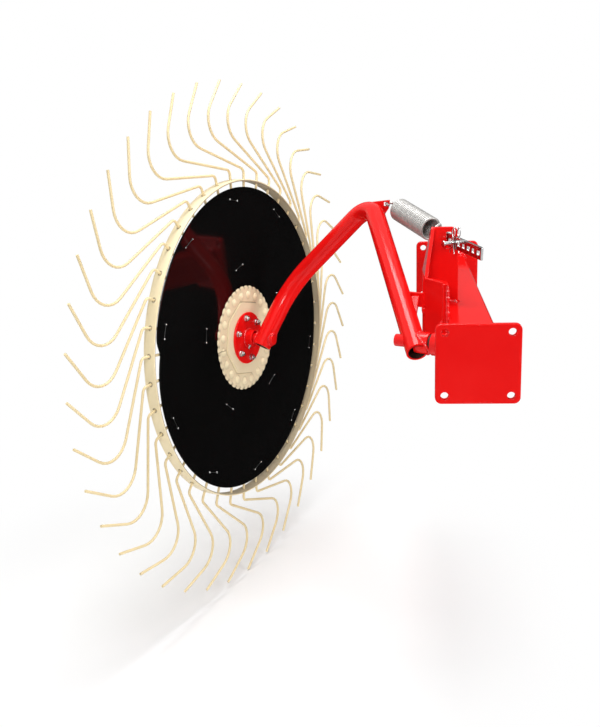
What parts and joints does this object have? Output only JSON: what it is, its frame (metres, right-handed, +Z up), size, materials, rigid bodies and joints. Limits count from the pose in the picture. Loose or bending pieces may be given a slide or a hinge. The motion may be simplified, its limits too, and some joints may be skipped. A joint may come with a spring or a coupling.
{
  "type": "wheel rake finger-wheel unit",
  "caption": "Finger-wheel unit of a wheel rake: flanged beam section, spring-balanced swing arm and a freely turning raking wheel with hooked wire tines and a wind disc.",
  "frame": {"origin": "centre of the near flange's outer face, at the middle of its bolt pattern", "axes": "+X to the right across the beam, +Y along the beam towards the far flange, +Z up"},
  "size_m": [0.9858, 1.2949, 1.4023],
  "materials": {
    "red_paint": "gloss",
    "cream_paint": "gloss",
    "black_plastic": "gloss",
    "zinc": "satin"
  },
  "bodies": {
    "beam": {"beam_tube": "red_paint", "near_flange": "red_paint", "far_flange": "red_paint", "spring_tower": "red_paint", "stop_bracket": "red_paint", "stop_pad": "red_paint", "pivot_boss": "red_paint", "pivot_pin": "red_paint", "adjuster_strap": "zinc", "adjuster_pin": "zinc", "tension_spring": "zinc"},
    "arm": {"arm_tube": "red_paint", "arm_bush": "red_paint", "spring_lug": "red_paint", "stop_lug": "red_paint", "stop_strut": "red_paint", "wheel_axle": "zinc"},
    "wheel": {"hub_tube": "red_paint", "hub_flange": "red_paint", "hub_octagon": "cream_paint", "clamp_plate_front": "cream_paint", "clamp_plate_rear": "cream_paint", "rim_hoop": "cream_paint", "tines": "cream_paint", "wind_disc": "black_plastic"}
  },
  "joints": [
    {"name": "arm_swing", "type": "hinge", "parent": "beam", "child": "arm", "pos_m": [-0.128, 0.151, 0.006], "axis": [0.9143, -0.4051, 0], "range_deg": [0, 30], "deforming": ["tension_spring"]},
    {"name": "wheel_spin", "type": "hinge", "parent": "arm", "child": "wheel", "pos_m": [-0.5801, 0.6416, -0.1227], "axis": [0.9134, -0.4048, 0.0436], "continuous": true}
  ]
}
